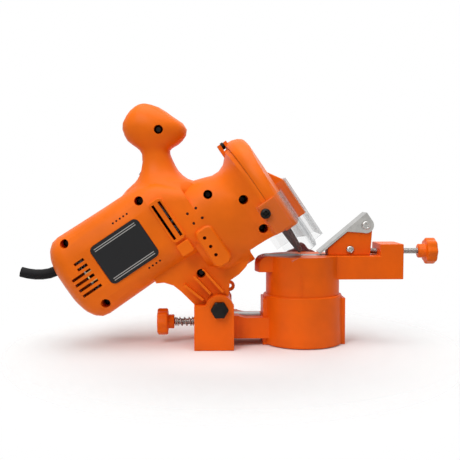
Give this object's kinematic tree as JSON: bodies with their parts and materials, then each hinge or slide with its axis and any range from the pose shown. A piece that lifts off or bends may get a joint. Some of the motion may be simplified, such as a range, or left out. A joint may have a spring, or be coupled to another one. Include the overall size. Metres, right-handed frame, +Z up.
{
  "type": "electric chainsaw sharpener",
  "caption": "Bench chain sharpener: a motor head with a guarded grinding disc tilts over a swivelling table with chain jaws, a clamp and a screw-adjusted chain stop.",
  "frame": {"origin": "on the table's swivel axis, at the plane of the base's underside", "axes": "+X towards the chain stop, -Y towards the front, +Z up from the bench"},
  "size_m": [0.3626, 0.1258, 0.2071],
  "materials": {
    "orange_plastic": "glass-filled nylon, satin",
    "orange_paint": "die casting, powder-coated orange",
    "black_plastic": "moulded, satin",
    "dark_red_plastic": "moulded, satin",
    "rubber": "soft, dull",
    "steel": "bright zinc plate",
    "dark_steel": "black oxide",
    "copper": "copper, enamelled or bare",
    "brass": "bare",
    "abrasive": "bonded abrasive, rough",
    "carbon": "pressed carbon",
    "clear_plastic": "clear polycarbonate"
  },
  "bodies": {
    "base": {"base_casting": "orange_paint", "arm_bar": "steel", "depth_nut": "steel", "pivot_bolt": "dark_steel", "pivot_nut": "dark_steel", "swivel_bolt": "dark_steel"},
    "depth_travel": {"depth_spring": "steel"},
    "depth_turn": {"depth_knob": "orange_plastic", "depth_screw": "steel"},
    "head": {"housing_near": "orange_plastic", "housing_far": "orange_plastic", "case_screw_1": "dark_steel", "case_screw_2": "dark_steel", "case_screw_3": "dark_steel", "case_screw_4": "dark_steel", "case_screw_5": "dark_steel", "case_screw_6": "dark_steel", "case_screw_7": "dark_steel", "case_screw_8": "dark_steel", "wheel_cover": "orange_plastic", "cover_screw": "dark_steel", "clear_guard": "clear_plastic", "guard_screw_near": "dark_steel", "guard_screw_far": "dark_steel", "stator_core": "dark_steel", "field_coil_upper": "copper", "field_coil_lower": "copper", "brush_holder_near": "brass", "brush_holder_far": "brass", "carbon_brush_near": "carbon", "carbon_brush_far": "carbon", "armature_bearing_rear": "steel", "armature_bearing_front": "steel", "spindle_bearing_rear": "steel", "spindle_bearing_front": "steel", "switch_body": "black_plastic", "strain_relief": "rubber"},
    "switch_rocker": {"rocker": "black_plastic"},
    "armature": {"armature_shaft": "steel", "armature_core": "dark_steel", "commutator": "copper", "fan": "black_plastic", "pinion": "steel"},
    "spindle": {"spindle_shaft": "steel", "drive_gear": "steel", "inner_flange": "steel", "grinding_disc": "abrasive", "outer_flange": "steel", "spindle_nut": "steel"},
    "table": {"table_casting": "orange_paint", "front_jaw": "steel"},
    "clamp_jaw": {"rear_jaw": "steel"},
    "clamp": {"clamp_screw": "steel", "clamp_knob": "dark_red_plastic"},
    "chain_stop": {"carriage": "orange_paint", "carriage_screw": "steel", "pawl_screw": "steel"},
    "stop_pawl": {"pawl": "steel"},
    "stop_turn": {"stop_screw": "steel", "stop_knob": "orange_plastic"}
  },
  "joints": [
    {"name": "head_tilt", "type": "hinge", "parent": "base", "child": "head", "pos_m": [-0.0733, 0, 0.0343], "axis": [0, -1, 0], "range_deg": [0, 13]},
    {"name": "depth_slide", "type": "slide", "parent": "base", "child": "depth_travel", "axis": [1, 0, 0], "range_m": [-0.006, 0], "deforming": ["depth_spring"]},
    {"name": "depth_screw_turn", "type": "hinge", "parent": "depth_travel", "child": "depth_turn", "pos_m": [-0.1173, 0, 0.0183], "axis": [1, 0, 0], "range_deg": [-2160, 0]},
    {"name": "switch_press", "type": "hinge", "parent": "head", "child": "switch_rocker", "pos_m": [-0.1381, 0, 0.15], "axis": [0, -1, 0], "range_deg": [0, 16]},
    {"name": "spindle_spin", "type": "hinge", "parent": "head", "child": "spindle", "pos_m": [-0.02986, 0, 0.1205], "axis": [0.829, 0, 0.5592], "continuous": true},
    {"name": "armature_spin", "type": "hinge", "parent": "head", "child": "armature", "pos_m": [-0.04943, 0, 0.14951], "axis": [0.829, 0, 0.5592], "continuous": true},
    {"name": "table_swivel", "type": "hinge", "parent": "base", "child": "table", "pos_m": [0, 0, 0.012], "axis": [0, 0, 1], "range_deg": [-35, 35]},
    {"name": "jaw_slide", "type": "slide", "parent": "table", "child": "clamp_jaw", "axis": [0, -1, 0], "range_m": [0, 0.003]},
    {"name": "clamp_turn", "type": "hinge", "parent": "clamp_jaw", "child": "clamp", "pos_m": [0.004, 0.0408, 0.0695], "axis": [0, -1, 0], "range_deg": [0, 1080]},
    {"name": "stop_slide", "type": "slide", "parent": "table", "child": "chain_stop", "axis": [1, 0, 0], "range_m": [-0.006, 0.0045]},
    {"name": "pawl_lift", "type": "hinge", "parent": "chain_stop", "child": "stop_pawl", "pos_m": [0.054, 0, 0.1026], "axis": [0, 1, 0], "range_deg": [0, 10]},
    {"name": "stop_screw_turn", "type": "hinge", "parent": "chain_stop", "child": "stop_turn", "pos_m": [0.1018, 0, 0.0797], "axis": [1, 0, 0], "range_deg": [-2700, 2025]}
  ],
  "couplings": [
    {"joint": "depth_screw_turn", "follows": "depth_slide", "rad_per_m": 6283.2},
    {"joint": "clamp_turn", "follows": "jaw_slide", "rad_per_m": 6283.2},
    {"joint": "stop_screw_turn", "follows": "stop_slide", "rad_per_m": 7854},
    {"joint": "armature_spin", "follows": "spindle_spin", "ratio": -3}
  ]
}
